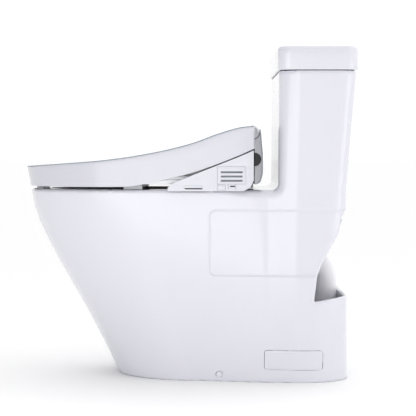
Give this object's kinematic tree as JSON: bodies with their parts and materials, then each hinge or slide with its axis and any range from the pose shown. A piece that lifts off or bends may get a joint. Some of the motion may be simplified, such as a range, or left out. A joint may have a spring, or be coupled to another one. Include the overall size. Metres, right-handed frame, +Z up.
{
  "type": "toilet with heated washing seat",
  "caption": "One-piece skirted toilet with a tank, a hinged lid and heated seat, and a washing unit with a sliding nozzle.",
  "frame": {"origin": "centre of the drain outlet at floor level", "axes": "+Z up; the bowl's front points to -Y and the wall is behind at +Y; +X is the right side seen from the front"},
  "size_m": [0.43, 0.722, 0.716],
  "materials": {
    "china": "vitreous china with a smooth gloss glaze",
    "china_raw": "vitreous china, thin glaze",
    "china_cap": "gloss moulding in the china's white",
    "lid_plastic": "high-gloss moulded lid",
    "seat_plastic": "gloss moulded seat",
    "unit_plastic": "satin-gloss moulded covers",
    "inner_plastic": "moulded inner parts",
    "valve_plastic": "moulded valve parts",
    "pipe_plastic": "moulded pipe",
    "lens": "translucent light strip",
    "board": "printed circuit board",
    "foil": "heating foil",
    "motor_metal": "motor can",
    "nozzle_steel": "stainless tube",
    "screw_steel": "stainless steel",
    "lever_chrome": "plated lever",
    "black_rubber": "black rubber",
    "red_rubber": "red valve rubber",
    "soft_rubber": "pale soft rubber"
  },
  "bodies": {
    "toilet": {"bowl_deck": "china", "bowl_basin": "china", "flush_channel": "china", "skirt_nose": "china", "skirt_right": "china", "skirt_left": "china", "trapway": "china_raw", "access_cover_left": "china_cap", "access_cover_right": "china_cap", "tank_casting": "china", "tank_lid_pads": "soft_rubber", "outlet_adapter": "pipe_plastic", "outlet_gasket": "black_rubber", "floor_bracket": "pipe_plastic", "side_screws": "screw_steel", "fill_valve_body": "valve_plastic", "fill_valve_nut": "valve_plastic", "flush_valve_base": "valve_plastic", "flush_valve_gasket": "black_rubber", "refill_tube": "soft_rubber", "mounting_plate": "inner_plastic", "mounting_bolts": "screw_steel"},
    "seat_unit": {"unit_base_plate": "inner_plastic", "unit_cover": "unit_plastic", "hinge_cheeks": "inner_plastic", "unit_rear_housing": "unit_plastic", "cord_grommet": "black_rubber", "side_cover_right": "unit_plastic", "side_cover_left": "unit_plastic", "night_light_lens": "lens", "water_inlet_fitting": "valve_plastic", "water_heater": "inner_plastic", "valve_block": "inner_plastic", "circuit_board": "board", "dryer_fan": "inner_plastic", "dryer_duct": "inner_plastic", "nozzle_cradle": "inner_plastic", "nozzle_motor": "motor_metal"},
    "lid": {"lid_shell": "lid_plastic", "lid_bumpers": "soft_rubber", "lid_hinge_pins": "screw_steel"},
    "seat": {"seat_top_shell": "seat_plastic", "seat_bottom_shell": "seat_plastic", "seat_heater": "foil", "seat_bumpers": "soft_rubber", "seat_hinge_pins": "screw_steel"},
    "nozzle": {"nozzle_tube": "nozzle_steel", "nozzle_head": "unit_plastic"},
    "tank_cover": {"tank_lid": "china"},
    "trip_lever": {"trip_lever_handle": "lever_chrome", "trip_lever_arm": "valve_plastic"},
    "flush_canister": {"flush_valve_canister": "valve_plastic", "flush_valve_seal": "red_rubber", "lift_link": "screw_steel"},
    "float": {"fill_valve_float": "valve_plastic"},
    "filter": {"filter_cover": "unit_plastic", "filter_cassette": "inner_plastic"},
    "release": {"release_button": "unit_plastic"}
  },
  "joints": [
    {"name": "unit_slide", "type": "slide", "parent": "toilet", "child": "seat_unit", "axis": [0, -1, 0], "range_m": [0, 0.03]},
    {"name": "lid_hinge", "type": "hinge", "parent": "seat_unit", "child": "lid", "pos_m": [0, 0.0705, 0.5345], "axis": [-1, 0, 0], "range_deg": [0, 98]},
    {"name": "seat_hinge", "type": "hinge", "parent": "seat_unit", "child": "seat", "pos_m": [0, 0.0705, 0.5345], "axis": [-1, 0, 0], "range_deg": [0, 98]},
    {"name": "nozzle_slide", "type": "slide", "parent": "seat_unit", "child": "nozzle", "axis": [0, -0.788, -0.6157], "range_m": [0, 0.085]},
    {"name": "filter_pull", "type": "slide", "parent": "seat_unit", "child": "filter", "axis": [1, 0, 0], "range_m": [0, 0.03]},
    {"name": "release_press", "type": "slide", "parent": "seat_unit", "child": "release", "axis": [-1, 0, 0], "range_m": [0, 0.002], "stiffness_N_per_m": 400, "springref_m": -0.002},
    {"name": "tank_cover_lift", "type": "slide", "parent": "toilet", "child": "tank_cover", "axis": [0, 0, 1], "range_m": [0, 0.06]},
    {"name": "trip_lever_turn", "type": "hinge", "parent": "toilet", "child": "trip_lever", "pos_m": [-0.2, 0.168, 0.622], "axis": [1, 0, 0], "range_deg": [0, 28]},
    {"name": "canister_lift", "type": "slide", "parent": "toilet", "child": "flush_canister", "axis": [0, 0, 1], "range_m": [0, 0.02]},
    {"name": "float_rise", "type": "slide", "parent": "toilet", "child": "float", "axis": [0, 0, 1], "range_m": [-0.08, 0]}
  ],
  "couplings": [
    {"joint": "seat_hinge", "follows": "lid_hinge", "ratio": 1},
    {"joint": "trip_lever_turn", "follows": "canister_lift", "rad_per_m": 24.4}
  ]
}
